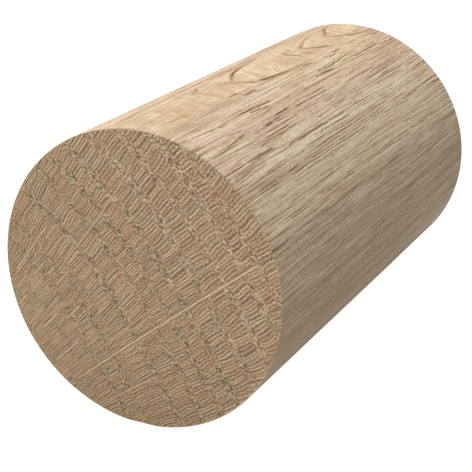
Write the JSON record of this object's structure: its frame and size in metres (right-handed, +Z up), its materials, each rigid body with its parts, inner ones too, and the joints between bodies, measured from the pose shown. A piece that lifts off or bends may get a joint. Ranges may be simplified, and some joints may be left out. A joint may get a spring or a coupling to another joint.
{
  "type": "oak dowel",
  "caption": "Short length of plain round oak dowel with two square-cut ends and lightly eased end edges.",
  "frame": {"origin": "middle of the narrow rest flat on the underside, halfway along the dowel", "axes": "+Y along the dowel from its front end to its rear end, +Z up, +X to the right when looking along +Y"},
  "size_m": [0.04, 0.07, 0.0399],
  "materials": {
    "oak": "planed and sanded bare oak, dull satin, open pores"
  },
  "bodies": {
    "root": {"dowel": "oak"}
  },
  "joints": []
}
